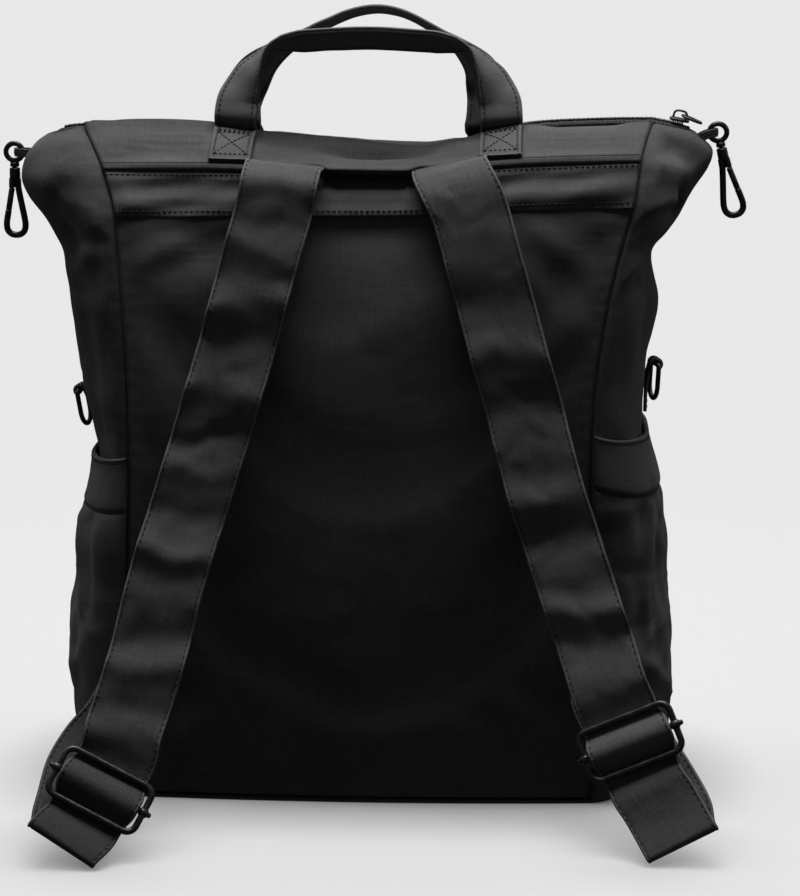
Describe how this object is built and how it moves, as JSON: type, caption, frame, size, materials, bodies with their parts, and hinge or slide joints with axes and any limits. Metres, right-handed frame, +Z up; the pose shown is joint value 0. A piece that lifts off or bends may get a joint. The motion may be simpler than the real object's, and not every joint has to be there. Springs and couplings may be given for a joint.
{
  "type": "canvas backpack",
  "caption": "Stuffed canvas tote backpack with zip top flaring into wings, carrying handles, webbing shoulder straps with sliders, side pockets, side rings and snap hooks.",
  "frame": {"origin": "centre of the base's underside", "axes": "+Z up towards the zip, the wearer's side faces -Y, the left side seen from there is -X"},
  "size_m": [0.4547, 0.2833, 0.4814],
  "materials": {
    "canvas": "matt canvas weave",
    "webbing": "matt canvas webbing with stitched edges",
    "handle": "smooth bonded canvas",
    "zip_tape": "woven tape",
    "zip_metal": "satin black",
    "hardware": "satin black"
  },
  "bodies": {
    "bag": {"back_panel": "canvas", "back_yoke": "canvas", "top_band_back": "canvas", "front_panel": "canvas", "top_band_front": "canvas", "left_gusset": "canvas", "right_gusset": "canvas", "left_pocket": "canvas", "right_pocket": "canvas", "base_panel": "canvas", "zip_tape_back": "zip_tape", "zip_tape_front": "zip_tape", "zip_chain": "zip_metal", "zip_slider": "zip_metal", "back_handle": "handle", "front_handle": "handle", "left_strap": "webbing", "right_strap": "webbing", "left_slider": "hardware", "right_slider": "hardware", "left_wing_tab": "handle", "right_wing_tab": "handle", "left_side_ring": "hardware", "left_side_tab": "handle", "right_side_ring": "hardware", "right_side_tab": "handle"},
    "left_eye": {"left_hook_eye": "hardware"},
    "left_hook": {"left_hook_body": "hardware"},
    "left_gate": {"left_hook_gate": "hardware"},
    "right_eye": {"right_hook_eye": "hardware"},
    "right_hook": {"right_hook_body": "hardware"},
    "right_gate": {"right_hook_gate": "hardware"},
    "pull": {"zip_pull": "zip_metal"}
  },
  "joints": [
    {"name": "left_hook_swing", "type": "hinge", "parent": "bag", "child": "left_eye", "pos_m": [-0.2185, 0, 0.392], "axis": [0, 1, 0], "range_deg": [-3, 95]},
    {"name": "left_hook_swivel", "type": "hinge", "parent": "left_eye", "child": "left_hook", "pos_m": [-0.2185, 0, 0.38], "axis": [0, 0, -1], "continuous": true},
    {"name": "left_gate_hinge", "type": "hinge", "parent": "left_hook", "child": "left_gate", "pos_m": [-0.22065, 0, 0.369], "axis": [0, 1, 0], "range_deg": [-17, 0], "stiffness_Nm_per_rad": 0.02},
    {"name": "right_hook_swing", "type": "hinge", "parent": "bag", "child": "right_eye", "pos_m": [0.2105, 0, 0.408], "axis": [0, 1, 0], "range_deg": [-82, 6]},
    {"name": "right_hook_swivel", "type": "hinge", "parent": "right_eye", "child": "right_hook", "pos_m": [0.2132, 0, 0.39631], "axis": [0.225, 0, -0.9744], "continuous": true},
    {"name": "right_gate_hinge", "type": "hinge", "parent": "right_hook", "child": "right_gate", "pos_m": [0.21777, 0, 0.38607], "axis": [0, 1, 0], "range_deg": [0, 17], "stiffness_Nm_per_rad": 0.02},
    {"name": "zip_pull_flip", "type": "hinge", "parent": "bag", "child": "pull", "pos_m": [0.18905, 0, 0.41802], "axis": [0, 1, 0], "range_deg": [-160, 0]}
  ]
}
